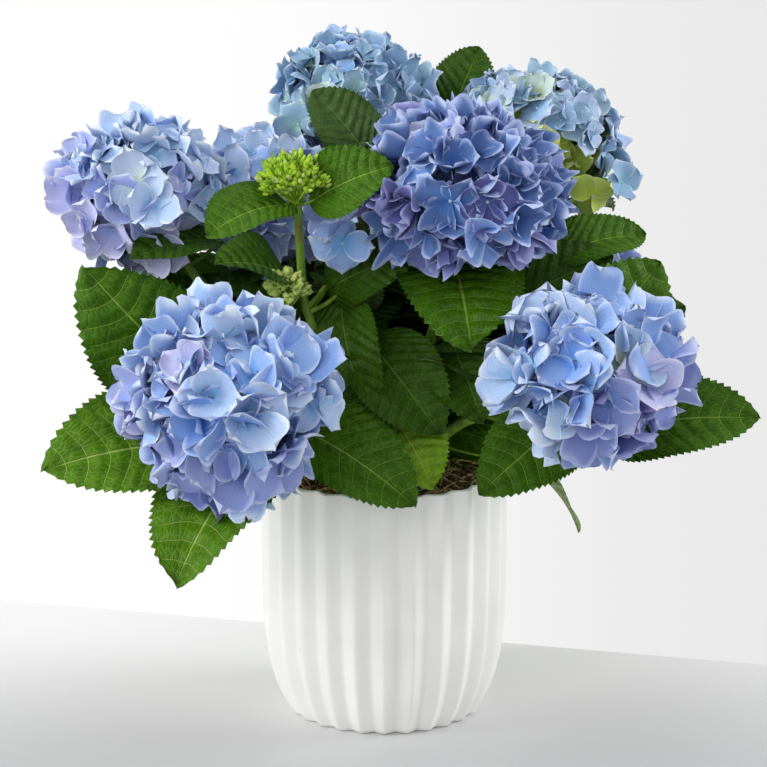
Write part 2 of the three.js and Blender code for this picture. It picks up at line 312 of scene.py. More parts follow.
leafColours = {  # blade, deeper blotches and veins; bright, mid and dark are lighter and darker copies of one green, partly real differences between leaves and partly painted light and shade
    "bright": ("4e7c08", "345a03", "9ebe5c"),
    "mid": ("3c6a02", "284c02", "88ac44"),
    "dark": ("315605", "213e03", "648834"),
    "lime": ("74a01c", "56800c", "b0cc62"),
    "blue": ("38561e", "293f12", "64804e"),
    "under": ("88a462", "708c4c", "b0c28a"),
}
petalOrder, leafOrder = list(petalColours), list(leafColours)


def buildLeafGroup():
    look = leafLook
    outputs = {"Color": "Color", "Height": "Float", "Roughness": "Float"}
    tree, given, out = newGroup("leafShade", look["labels"], outputs)
    uv, _, along, off = bladePosition(tree)
    bow = times(tree, maths(tree, "POWER", off, leafShape["veinBow"]), leafShape["veinLean"])
    bow = times(tree, bow, minus(tree, 1.0, along))
    phase = times(tree, minus(tree, along, bow), float(leafShape["veins"]))
    wobble = noise(tree, uv, look["wobbleScale"])
    phase = plus(tree, phase, times(tree, minus(tree, wobble, 0.5), look["wobble"]))
    toVein = maths(tree, "ABSOLUTE", minus(tree, maths(tree, "FRACT", phase), 0.5))
    side = times(tree, ramp(tree, toVein, *look["sideVein"]), ramp(tree, off, *look["sideFade"]))
    veins = maths(tree, "MAXIMUM", ramp(tree, off, *look["midrib"], 1.0, 0.0), side)
    cellInputs = {"Vector": uv, "Scale": look["netScale"]}
    cells = addNode(tree, "ShaderNodeTexVoronoi", cellInputs, feature="DISTANCE_TO_EDGE").outputs[0]
    blister = ramp(tree, cells, 0.0, look["blister"])
    net = ramp(tree, cells, 0.0, look["net"], 1.0, 0.0)
    quilt = ramp(tree, toVein, 0.0, 0.5, 1.0, 0.0)
    blotch = ramp(tree, wobble, *look["blotch"])
    colour = blendColours(tree, times(tree, blotch, look["blotchShare"]), given["Blade"], given["Deep"])
    colour = blendColours(tree, times(tree, net, look["netShare"]), colour, given["Vein"])
    colour = blendColours(tree, times(tree, veins, look["veinShare"]), colour, given["Vein"])
    relief = plus(tree, times(tree, quilt, look["quiltRelief"]), times(tree, blister, look["blisterRelief"]))
    relief = minus(tree, relief, times(tree, veins, look["veinRelief"]))
    smooth, blotched = look["roughness"]
    rough = plus(tree, smooth, times(tree, blotch, blotched))
    wire(tree, out, {"Color": colour, "Height": relief, "Roughness": rough})
    return tree


def bladeMaterials(kind, colours, group, look):  # a material for each row of colours
    made = []
    for name, codes in colours.items():
        material, tree, shader = newMaterial(kind + "_" + name)
        shade = addNode(tree, "ShaderNodeGroup", node_tree=group)
        wire(tree, shade, dict(zip(look["labels"], map(tint, codes))))
        rough = shade.outputs["Roughness"] if "Roughness" in shade.outputs else look["roughness"]
        wire(tree, shader, {"Base Color": shade.outputs["Color"], "Roughness": rough,
                            "Specular IOR Level": look["specular"], "Sheen Weight": look["sheen"]})
        bumpFrom(tree, shader, shade.outputs["Height"], *look["bump"])
        made.append(material)
    return made


budSpeckle = {"scale": 240.0, "step": (0.4, 0.65), "rough": 0.55}
speckledLooks = {  # two colours in a noise, some with a bump and with patches of a third colour
    "floret_bead": {"colours": ("7fb2dc", "d6e6c8"), "scale": 900.0, "rough": 0.5},
    "green_stem": {"colours": ("7a9c2e", "587c1c"), "scale": 1.0, "detail": 3.0, "stretch": (260, 260, 40),
                   "step": (0.35, 0.7), "rough": 0.5, "bump": (0.0006, 0.6),
                   "patch": ("7a5430", (34.0, 2.0), (0.58, 0.74))},
    "bud_lime": {"colours": ("b8dc34", "6a981a"), **budSpeckle},
    "bud_pale": {"colours": ("cfdd7e", "94b548"), **budSpeckle},
    "peat": {"colours": ("2a1c10", "5b4229"), "scale": 320.0, "detail": 6.0, "step": (0.35, 0.68),
             "rough": 0.95, "bump": (0.003, 1.0), "patch": ("4a4a20", (40.0, 3.0), (0.5, 0.72))},
}
patchShare = 0.6


def speckledMaterial(name):
    look = speckledLooks[name]
    made, tree, shader = newMaterial(name)
    place = spread = objectPlace(tree)
    if "stretch" in look:
        spread = addNode(tree, "ShaderNodeMapping", {"Vector": place, "Scale": look["stretch"]}).outputs[0]
    speckle = noise(tree, spread, look["scale"], look.get("detail", 2.0))
    share = ramp(tree, speckle, *look["step"]) if "step" in look else speckle
    colour = blendColours(tree, share, *map(tint, look["colours"]))
    if "patch" in look:
        code, grain, step = look["patch"]
        patch = ramp(tree, noise(tree, place, *grain), *step, 0.0, patchShare)
        colour = blendColours(tree, patch, colour, tint(code))
    wire(tree, shader, {"Base Color": colour, "Roughness": look["rough"]})
    if "bump" in look:
        bumpFrom(tree, shader, speckle, *look["bump"])
    return made


glaze = {"colours": ("fafaf7", "f4f4f1"), "cloud": (22.0, 3.0), "grain": 900.0, "grainRelief": 0.06,
         "roughness": (0.42, 0.52), "coat": 0.12, "coatRoughness": 0.35, "bump": (0.0009, 0.35)}


def buildCeramic():
    made, tree, shader = newMaterial("white_ceramic")
    place = objectPlace(tree)
    cloud, grain = noise(tree, place, *glaze["cloud"]), noise(tree, place, glaze["grain"])
    colour = blendColours(tree, ramp(tree, cloud, 0.3, 0.7), *map(tint, glaze["colours"]))
    wire(tree, shader, {"Base Color": colour, "Roughness": ramp(tree, cloud, 0.2, 0.8, *glaze["roughness"]),
                        "Coat Weight": glaze["coat"], "Coat Roughness": glaze["coatRoughness"]})
    bumpFrom(tree, shader, plus(tree, times(tree, grain, glaze["grainRelief"]), cloud), *glaze["bump"])
    return made


strandColours = {"strand_brown": ("35230f", "6b4f30"), "strand_olive": ("3f4419", "6a6a32"),
                 "strand_straw": ("94794a", "c9b184")}


def strandMaterial(name):  # a strand's map runs along it first and then round it
    made, tree, shader = newMaterial(name)
    uv, along = bladePosition(tree)[:2]
    mix = times(tree, ramp(tree, noise(tree, uv, 9.0), 0.3, 0.7), ramp(tree, along, 0.0, 1.0, 1.0, 0.6))
    colour = blendColours(tree, mix, *map(tint, strandColours[name]))
    wire(tree, shader, {"Base Color": colour, "Roughness": 0.8})
    return made


petalMaterials = bladeMaterials("petal", petalColours, buildPetalGroup(), petalLook)
beadSlot = len(petalMaterials)
petalMaterials.append(speckledMaterial("floret_bead"))
leafMaterials = bladeMaterials("leaf", leafColours, buildLeafGroup(), leafLook)
stemMaterial = speckledMaterial("green_stem")
budMaterials = [speckledMaterial("bud_lime"), speckledMaterial("bud_pale")]
ceramic = buildCeramic()
mossMaterials = [speckledMaterial("peat")] + [strandMaterial(name) for name in strandColours]
print("materials ready")


pot = {"ribs": 26, "stepsPerRib": 8, "ribDepth": 0.0060, "ribShape": (0.0, 0.23, 0.5, 0.77, 1.0),
       "crest": 0.0012, "wall": 0.0085, "bellyPower": 6, "footRound": 0.0022, "rings": 13,
       "lip": ((0.0012, 0.0), (0.0030, 0.0), (0.0048, 0.0002)), "floor": 0.009, "floorRings": (0.7, 0.3),
       "innerRings": (0.94, 0.8, 0.55, 0.3, 0.14, 0.07)}
potPoints = nodePoints("pot")
potReach = np.hypot(potPoints[:, 0], potPoints[:, 1])
potSize = {"height": potPoints[:, 2].max(), "rim": potReach.max(),
           "foot": potReach[potPoints[:, 2] < 0.001].max()}


def potRadius(z):  # the outer side, over the crests of its ribs
    up = min(z / potSize["height"], 1)
    return potSize["rim"] + pot["crest"] - (potSize["rim"] - potSize["foot"]) * (1 - up) ** pot["bellyPower"]


def pickVertices(piece, rule):  # selects the vertices that a rule on their place agrees with, in edit mode
    bpy.ops.object.mode_set(mode="OBJECT")
    mesh = piece.data
    for part in (mesh.polygons, mesh.edges, mesh.vertices):
        part.foreach_set("select", np.zeros(len(part), bool))
    mesh.vertices.foreach_set("select", [bool(rule(v.co)) for v in mesh.vertices])
    bpy.ops.object.mode_set(mode="EDIT")
    bpy.ops.mesh.select_mode(type="VERT")


def growRing(z, dz, factor):  # pulls the picked ring of edges up by dz and widens it
    bpy.ops.mesh.extrude_edges_move(TRANSFORM_OT_translate={"value": (0, 0, dz)})
    bpy.ops.transform.resize(value=(factor, factor, 1), center_override=(0, 0, z))


def onOuterWall(co, fraction):  # on the outer side, a fraction of a rib's width from a crest
    reach = math.hypot(co.x, co.y)
    if co.z < 0.0001 and reach < 0.01 or reach < potRadius(co.z) - pot["wall"] * 0.45:
        return False
    turn = math.atan2(co.x, -co.y) / (2 * math.pi) * pot["ribs"]
    return abs(abs(turn - round(turn)) - fraction) < 0.03


def buildPot():
    height = potSize["height"]
    steps = pot["ribs"] * pot["stepsPerRib"]
    bpy.ops.object.select_all(action="DESELECT")
    radius = potRadius(0) - pot["footRound"]
    bpy.ops.mesh.primitive_circle_add(vertices=steps, radius=radius, fill_type="TRIFAN")
    piece = bpy.context.object
    piece.name = "flutedPot"
    bpy.ops.object.mode_set(mode="EDIT")
    bpy.ops.mesh.select_mode(type="EDGE")
    bpy.ops.mesh.select_all(action="DESELECT")
    bpy.ops.mesh.select_non_manifold(extend=False)
    heights = [0.0004, pot["footRound"]]
    heights += [height * (0.03 + 0.94 * (i / pot["rings"]) ** 1.25) for i in range(pot["rings"] + 1)]
    heights += [height - 0.0022, height - 0.0008]
    profile = [(potRadius(0) - 0.0006, 0.0003)] + [(potRadius(z), z) for z in heights[1:]]
    rim = potRadius(height)
    profile += [(rim - inward, height - drop) for inward, drop in pot["lip"]]
    profile += [(rim - pot["wall"], height - 0.0014)]
    profile += [(potRadius(z * height) - pot["wall"], z * height) for z in pot["innerRings"]]
    profile += [(potRadius(0) * share, pot["floor"]) for share in pot["floorRings"]]
    z = 0.0
    for newRadius, newZ in profile:
        growRing(newZ, newZ - z, newRadius / radius)
        radius, z = newRadius, newZ
    bpy.ops.mesh.edge_face_add()  # closes the inner floor
    for step in (1, 2, 3, 4):  # from beside the crest of a rib down to the valley
        drawn = 1 - pot["ribDepth"] * pot["ribShape"][step] / rim
        pickVertices(piece, lambda co: onOuterWall(co, step / pot["stepsPerRib"]))
        bpy.ops.transform.resize(value=(drawn, drawn, 1), center_override=(0, 0, 0))
    bpy.ops.mesh.select_all(action="SELECT")
    bpy.ops.mesh.normals_make_consistent(inside=False)
    bpy.ops.object.mode_set(mode="OBJECT")
    fine = piece.modifiers.new("fine", "SUBSURF")
    fine.levels = fine.render_levels = 1
    fine.use_limit_surface = False
    bpy.ops.object.modifier_apply(modifier="fine")
    bpy.ops.object.shade_smooth()
    piece.data.materials.append(ceramic)
    return piece


potPiece = buildPot()
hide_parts("pot")
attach(potPiece, "root")
print("pot:", len(potPiece.data.polygons), "faces")


moss = {"cuts": 13, "sides": 72, "depth": 0.03, "sink": 0.009, "dome": 0.008, "lumps": 0.0013,
        "strands": 2600, "strandLength": 0.030, "strandRadius": 0.0005, "strandPoints": 6, "tuft": 0.008,
        "kinds": (0.4, 0.15, 0.45)}
mossEdge = inBox("soil", (0, 0, 1))[2] - moss["sink"]
mossRadius = (boxes["soil"][1][0] - boxes["soil"][0][0]) / 2


def mossHeight(x, y):
    reach = np.hypot(x, y) / mossRadius
    lumps = np.sin(x * 210 + 1.2) * np.sin(y * 190) + 0.6 * np.sin(x * 430 + y * 370)
    dome = mossEdge + moss["dome"] * np.clip(1 - reach ** 2, 0, 1)
    return dome + moss["lumps"] * lumps * np.clip(1.2 - reach, 0, 1)


def buildSoil():
    bpy.ops.object.select_all(action="DESELECT")
    middle = (0, 0, mossEdge - moss["depth"] / 2)
    bpy.ops.mesh.primitive_cylinder_add(vertices=moss["sides"], radius=mossRadius, depth=moss["depth"],
                                        location=middle, end_fill_type="TRIFAN")
    piece = bpy.context.object
    piece.name = "pottingSoil"
    bpy.ops.object.transform_apply(location=True)
    pickVertices(piece, lambda co: co.z > mossEdge - 0.001)
    bpy.ops.mesh.subdivide(number_cuts=moss["cuts"], quadcorner="INNERVERT")
    bpy.ops.object.mode_set(mode="OBJECT")
    for v in piece.data.vertices:
        if v.co.z > mossEdge - 0.001:
            v.co.z = mossHeight(v.co.x, v.co.y)
    bpy.ops.object.shade_smooth()
    piece.data.materials.append(mossMaterials[0])
    return piece


def buildStrands():
    radius = mossRadius - 0.002
    store, count = newStore(), moss["strandPoints"]
    for _ in range(moss["strands"]):
        turn, reach = rng.uniform(0, 2 * math.pi), radius * math.sqrt(rng.uniform(0.02, 1))
        x, y = reach * math.cos(turn), reach * math.sin(turn)
        kind = rng.choice(3, p=moss["kinds"])
        length = moss["strandLength"] * rng.uniform(0.5, 1.5)
        heading, curl = rng.uniform(0, 2 * math.pi), rng.normal(0, 1.6)
        points = []
        for s in np.linspace(0, 1, count):
            points.append([x, y, 0.0])
            x += length / (count - 1) * math.cos(heading + curl * s)
            y += length / (count - 1) * math.sin(heading + curl * s)
        points = np.array(points)
        reaches = np.hypot(points[:, 0], points[:, 1])
        points[:, :2] *= np.minimum(1, radius / reaches)[:, None]
        hump = moss["tuft"] * rng.uniform(0.1, 1.0)
        points[:, 2] = mossHeight(points[:, 0], points[:, 1]) + hump * np.sin(np.linspace(0.15, 3.0, count))
        rod(store, points, moss["strandRadius"] * rng.uniform(0.7, 1.7), 4, 1 + kind)
    return joinPiece("mossStrands", store, mossMaterials)


soilPiece, strandPiece = buildSoil(), buildStrands()
for piece in (soilPiece, strandPiece):
    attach(piece, "root")
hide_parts("soil")
print("moss:", len(strandPiece.data.polygons), "faces")


stemShape = {"steps": 30, "resolution": 5, "jointEvery": 0.055, "jointSwell": 0.32, "ripple": 0.0010,
             "rippleScale": 0.006, "inSoil": 0.012, "intoHead": 0.45, "intoBud": 0.75}
headPlaces = ("left", "mid_left", "top", "centre", "top_right", "low_left", "low_right", "back_left",
              "back_right", "back")
stemHeads = {"stem_" + place: "bloom_" + place for place in headPlaces}
stemHeads["stem_bud"] = "bud_head"


def centreLine(node):  # the middle of each ring of a stem's solid, from the soil up, and its radius there
    points = nodePoints(node)
    foot = points[points[:, 2].argmin()]
    far = points[np.linalg.norm(points - foot, axis=1).argmax()]
    share = (points - foot) @ unit(far - foot)
    order = share.argsort()
    groups = np.split(order, np.where(np.diff(share[order]) > 0.005)[0] + 1)
    middles = [points[g].mean(0) for g in groups if len(g) > 3]
    reaches = [np.linalg.norm(points[g] - points[g].mean(0), axis=1).mean() for g in groups if len(g) > 3]
    return np.array(middles), np.array(reaches)


def headCentre(node):
    return inBox(node, (0.5, 0.5, 0.5))


def stemPath(node):
    middles, reaches = centreLine(node)
    foot = middles[0] - np.array([0, 0, stemShape["inSoil"]])
    hub = headCentre(stemHeads[node])
    reach = stemShape["intoBud" if node == "stem_bud" else "intoHead"]
    inside = middles[-1] + (hub - middles[-1]) * reach
    path = smoothPath(np.vstack([foot, middles, inside]), stemShape["steps"])
    radii = np.interp(np.linspace(0, 1, len(path)), np.linspace(0, 1, len(reaches)), reaches)
    return path, radii


stemPaths = {node: stemPath(node) for node in stemHeads}


def buildStem(node):
    path, radii = stemPaths[node]
    curve = bpy.data.curves.new(node, "CURVE")
    curve.dimensions = "3D"
    curve.bevel_depth = 1.0
    curve.bevel_resolution = stemShape["resolution"]
    curve.use_fill_caps = True
    spline = curve.splines.new("POLY")
    spline.points.add(len(path) - 1)
    run = np.concatenate([[0], np.cumsum(np.linalg.norm(np.diff(path, axis=0), axis=1))])
    for point, spot, radius, far in zip(spline.points, path, radii, run):
        point.co = (*spot, 1)
        joint = abs((far / stemShape["jointEvery"]) % 1 - 0.5)
        point.radius = radius * (1 + stemShape["jointSwell"] * max(0, 1 - joint * 9))
    piece = bpy.data.objects.new(node + "_green", curve)
    scene.collection.objects.link(piece)
    bpy.ops.object.select_all(action="DESELECT")
    piece.select_set(True)
    bpy.context.view_layer.objects.active = piece
    bpy.ops.object.convert(target="MESH")
    piece = bpy.context.object
    fine = piece.modifiers.new("fine", "SUBSURF")
    fine.levels = fine.render_levels = 1
    relief = bpy.data.textures.new(node, "CLOUDS")
    relief.noise_scale = stemShape["rippleScale"]
    ripple = piece.modifiers.new("ripple", "DISPLACE")
    ripple.texture = relief
    ripple.strength = stemShape["ripple"]
    ripple.mid_level = 0.5
    for name in ("fine", "ripple"):
        bpy.ops.object.modifier_apply(modifier=name)
    bpy.ops.object.shade_smooth()
    piece.data.materials.clear()
    piece.data.materials.append(stemMaterial)
    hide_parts(node)
    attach(piece, "root")


for node in stemHeads:
    buildStem(node)
print("stems:", len(stemHeads))


florets = {"beadRadius": 0.0014, "raySides": 4, "rayRadius": 0.0007, "layers": ((0.77, 1.0), (0.52, 0.5)),
           "scatter": 0.07, "bumps": 0.05, "underside": -0.86, "rayBend": 0.6, "rayDip": 0.004}
sepal = {"rows": 8, "columns": 8, "length": (0.88, 1.12), "width": (0.46, 0.6), "neck": 0.12,
         "slope": (-0.22, 0.22), "bend": (-0.9, 0.6), "round": 0.12, "point": 0.07, "waves": (3.5, 8.5),
         "waveLean": (-1.6, 1.6), "twist": (-0.4, 0.4), "turn": 0.1, "lift": 0.03}
# A head that says nothing else has these: how far its florets open ("cup"), lean ("tilt") and ripple,
# how closely they sit, and the colours of its inner layer of florets ("inside"), by default darker blues that
# paint shade deep inside the head. "side" is a way and the mix on that side,
# "hanging" has loose florets by place, facing and colour, and "accents" has single florets by way and colour.
plainHead = {"shift": (0, 0, 0), "stretch": (1, 1, 1), "reach": 1, "size": 0.046, "crowding": 0.30,
             "ruffle": 0.15, "tilt": 0.45, "cup": (0.0, 0.8), "fold": (-0.25, 0.65), "accents": [],
             "hanging": [], "inside": {"deep": 4, "cornflower": 1, "deepViolet": 1}}
heads = {
    "bloom_left": {
        "shift": (0.010, 0, -0.005), "stretch": (1, 1, 0.95), "tilt": 0.40, "cup": (0.0, 0.75),
        "mix": {"sky": 6, "skyDeep": 2, "periwinkle": 3, "lavender": 1, "pale": 1},
        "side": ((-0.5, -0.2, -0.8), {"lavender": 5, "periwinkle": 3})},
    "bloom_mid_left": {
        "shift": (0, 0, -0.006), "stretch": (1, 1, 0.84), "tilt": 0.42, "cup": (0.0, 0.75),
        "mix": {"sky": 5, "skyDeep": 3, "periwinkle": 3, "lavender": 1, "pale": 1},
        "side": ((0.5, -0.2, -0.7), {"periwinkle": 4, "skyDeep": 2}),
        "hanging": [((1.0, -0.28, 0.28), (0.15, -0.95, 0.05), "skyDeep"),
                    ((0.93, -0.15, 0.45), (-0.2, -0.8, 0.5), "periwinkle")]},
    "bloom_top": {
        "shift": (0.001, 0, -0.009), "reach": 1.05, "size": 0.035, "ruffle": 0.12, "cup": (0.0, 0.7),
        "mix": {"steel": 7, "teal": 3, "skyDeep": 1},
        "side": ((-0.6, -0.3, -0.6), {"teal": 4, "mint": 1, "steel": 2})},
    "bloom_centre": {
        "shift": (-0.006, 0, 0.003), "reach": 0.98, "stretch": (1, 1, 0.78), "size": 0.048, "crowding": 0.34,
        "dent": ((0.75, -0.3, 0.65), 0.4), "ruffle": 0.2, "tilt": 0.7, "cup": (0.3, 1.3),
        "fold": (0.15, 1.15), "mix": {"deep": 8, "cornflower": 3, "deepViolet": 1, "violetPale": 1},
        "side": ((-0.5, -0.4, -0.7), {"deepViolet": 4, "deep": 4, "violet": 2}),
        "accents": [((-0.5, -0.6, 0.8), "lavender"), ((-0.2, -0.6, 0.9), "periwinkle")]},
    "bloom_top_right": {
        "shift": (-0.005, 0, -0.005), "reach": 1.13, "stretch": (1, 1, 0.84), "size": 0.037, "ruffle": 0.14,
        "tilt": 0.40, "cup": (0.0, 0.7), "gap": ((-0.2, -0.7, -0.7), 0.34),
        "mix": {"steel": 4, "teal": 4, "mint": 1, "sky": 5}, "inside": {"lime": 5, "mint": 1},
        "side": ((-0.3, -0.5, -0.8), {"lime": 3, "mint": 3, "teal": 2}),
        "accents": [((-0.8, -0.4, 0.4), "mint"), ((-0.6, -0.6, 0.5), "pale")],
        "hanging": [((0.92, 0.20, 0.20), (0.6, -0.7, 0.0), "steel"),
                    ((0.76, 0.10, 0.12), (0.2, -0.9, -0.1), "lime"),
                    ((0.50, 0.05, 0.42), (-0.1, -0.9, 0.2), "lime")]},
    "bloom_low_left": {
        "shift": (0.001, 0, -0.001), "reach": 0.90, "stretch": (1, 1, 0.94), "size": 0.057, "ruffle": 0.17,
        "tilt": 0.5, "cup": (0.05, 0.85),
        "mix": {"cornflower": 5, "skyDeep": 6, "sky": 3, "periwinkle": 1},
        "side": ((-0.5, -0.2, -0.7), {"lavender": 4, "periwinkle": 5, "violetPale": 3}),
        "accents": [((-0.75, -0.5, 0.45), "lavender"), ((-0.5, -0.6, 0.65), "lavender"),
                    ((0.6, -0.7, -0.35), "purple"), ((0.4, -0.7, -0.6), "violetPale"),
                    ((0.75, -0.6, 0.0), "violetPale"), ((-0.5, -0.7, -0.5), "periwinkle")]},
    "bloom_low_right": {
        "shift": (-0.003, 0, -0.001), "reach": 0.88, "stretch": (1, 1, 0.87), "size": 0.057, "crowding": 0.34,
        "ruffle": 0.18, "tilt": 0.55, "cup": (0.05, 0.9),
        "mix": {"cornflower": 5, "skyDeep": 5, "sky": 4},
        "side": ((0.6, -0.2, -0.7), {"violet": 4, "lavender": 2, "violetPale": 4}),
        "accents": [((0.3, -0.9, 0.05), "fresh"), ((-0.3, -0.9, -0.3), "fresh"),
                    ((0.35, -0.7, -0.65), "purple"), ((0.8, -0.5, 0.1), "lavender")]},
    "bloom_back_left": {
        "ruffle": 0.12, "mix": {"skyDeep": 4, "cornflower": 3, "sky": 2, "periwinkle": 2},
        "side": ((-0.5, 0.3, -0.7), {"lavender": 3, "periwinkle": 3})},
    "bloom_back_right": {
        "ruffle": 0.13, "mix": {"cornflower": 4, "periwinkle": 3, "sky": 2, "violetPale": 2},
        "side": ((0.5, 0.3, -0.7), {"violet": 3, "lavender": 2})},
    "bloom_back": {
        "size": 0.044, "ruffle": 0.12, "mix": {"sky": 4, "skyDeep": 4, "periwinkle": 2, "teal": 2},
        "side": ((0, 0.3, -0.8), {"periwinkle": 4, "lavender": 2})},
}


def spreadDirections(count):  # even directions all round
    i = np.arange(count) + 0.5
    z = 1 - 2 * i / count
    turn = i * math.pi * (3 - math.sqrt(5))
    flat = np.sqrt(1 - z * z)
    return np.column_stack([flat * np.cos(turn), flat * np.sin(turn), z])


def frames(normals, spin):  # two directions across each normal, turned by a spin
    guide = np.where(np.abs(normals[:, 2:3]) < 0.9, [[0.0, 0.0, 1.0]], [[1.0, 0.0, 0.0]])
    across = np.cross(guide, normals)
    across /= np.linalg.norm(across, axis=1)[:, None]
    up = np.cross(normals, across)
    c, s = np.cos(spin)[:, None], np.sin(spin)[:, None]
    return across * c + up * s, up * c - across * s


def beadShape():  # a cube's faces cut in four and pushed out to a ball
    spots, quads = [], []
    for axis in range(3):
        for side in (-1, 1):
            start = len(spots)
            for a in (-1, 0, 1):
                for b in (-1, 0, 1):
                    p = [0, 0, 0]
                    p[axis], p[(axis + 1) % 3], p[(axis + 2) % 3] = side, a, b
                    spots.append(unit(p))
            for corner in (0, 1, 3, 4):
                q = [start + corner, start + corner + 3, start + corner + 4, start + corner + 1]
                quads.append(q if side > 0 else q[::-1])
    return np.array(spots), np.array(quads)


beadSpots, beadQuads = beadShape()
beadUv = np.column_stack([beadSpots[:, 0] * 0.5 + 0.5, beadSpots[:, 1] * 0.5 + 0.5])


def addBeads(store, places, radii, slots, drawn=(0, 0, 0)):  # beads, drawn out to a point along one way
    shape = beadSpots + np.outer(np.clip(beadSpots @ np.array(drawn, float), 0, None) ** 2, drawn)
    for place, radius, slot in zip(places, radii, slots):
        gather(store, place + shape * radius, beadQuads, beadUv, slot)


def addSepals(store, at, normal, size, head, slots):  # four broad sepals round each floret's middle
    rows, columns, count = sepal["rows"], sepal["columns"], len(at)
    v = (np.sin(np.linspace(0, math.pi / 2, rows + 1)) ** 1.1)[None, :, None]  # closer toward the tip
    u = np.linspace(-1, 1, columns + 1)[None, None, :]
    pick = lambda low, high: rng.uniform(low, high, (count, 1, 1))
    first, second = frames(normal, rng.uniform(0, 2 * math.pi, count))
    opening, shoulders = pick(*head["cup"]), 2.16 * v ** 0.62 * (1 - v) ** 0.5
    quad = gridQuads(rows, columns, columns + 1)
    quads = (np.arange(count) * (rows + 1) * (columns + 1))[:, None, None] + quad[None]
    uv = np.stack(np.broadcast_arrays((u + 1) / 2, v), -1)
    uv = np.broadcast_to(uv, (count, rows + 1, columns + 1, 2))
    for k in range(4):
        length = size[:, None, None] * 0.5 * pick(*sepal["length"])
        half = length * pick(*sepal["width"]) * (sepal["neck"] + (1 - sepal["neck"]) * shoulders)
        slope = opening + pick(*sepal["slope"]) + pick(*sepal["bend"]) * v  # the sepal bends along its length
        step = length * np.diff(v, axis=1, prepend=0)
        x = np.cumsum(np.cos(slope) * step, axis=1) * (1 - sepal["round"] * u * u * v)
        x = x + sepal["point"] * length * (1 - abs(u)) * v ** 6
        y = u * half
        wave = np.sin(pick(0, 6.3) + pick(*sepal["waves"]) * v + pick(*sepal["waveLean"]) * u)
        z = np.cumsum(np.sin(slope) * step, axis=1) + sepal["lift"] * (1 + k % 2) * length
        z = z + pick(*head["fold"]) * half * u * u
        z = z + head["ruffle"] * length * abs(u) ** 1.4 * v ** 0.7 * wave
        z = z + pick(*sepal["twist"]) * y * v
        turn = k * math.pi / 2 + rng.normal(0, sepal["turn"], count)
        c, s = np.cos(turn)[:, None, None], np.sin(turn)[:, None, None]
        px, py = x * c - y * s, x * s + y * c
        spots = at[:, None, None] + px[..., None] * first[:, None, None]
        spots = spots + py[..., None] * second[:, None, None] + z[..., None] * normal[:, None, None]
        gather(store, spots, quads, uv, np.repeat(slots, len(quad)))


def pickColours(head, directions, isInside):  # deals colour classes out by floret, one side with its own mix
    way, sideMix = head["side"]
    lean = np.clip(directions @ unit(way) * 1.6 - 0.25, 0, 1)
    chosen = []
    for share, within in zip(lean, isInside):
        # the inner layer takes the "inside" mix, by default darker blues: painted shade deep in the head
        mix = head["inside"] if within else sideMix if rng.random() < share else head["mix"]
        weights = np.array(list(mix.values()), float)
        chosen.append(petalOrder.index(rng.choice(list(mix), p=weights / weights.sum())))
    return np.array(chosen)


def layerDirections(head, share, radius, axis):  # where the florets of one layer sit, as seen from the middle
    count = int(share * 4 * math.pi * radius ** 2 / (head["crowding"] * head["size"] ** 2))
    directions = spreadDirections(count) + rng.normal(0, florets["scatter"], (count, 3))
    directions /= np.linalg.norm(directions, axis=1)[:, None]
    directions = directions[directions @ axis > florets["underside"]]
    if "gap" in head and share == 1:  # the side where one looks in under the florets
        directions = directions[directions @ unit(head["gap"][0]) < head["gap"][1]]
    return directions


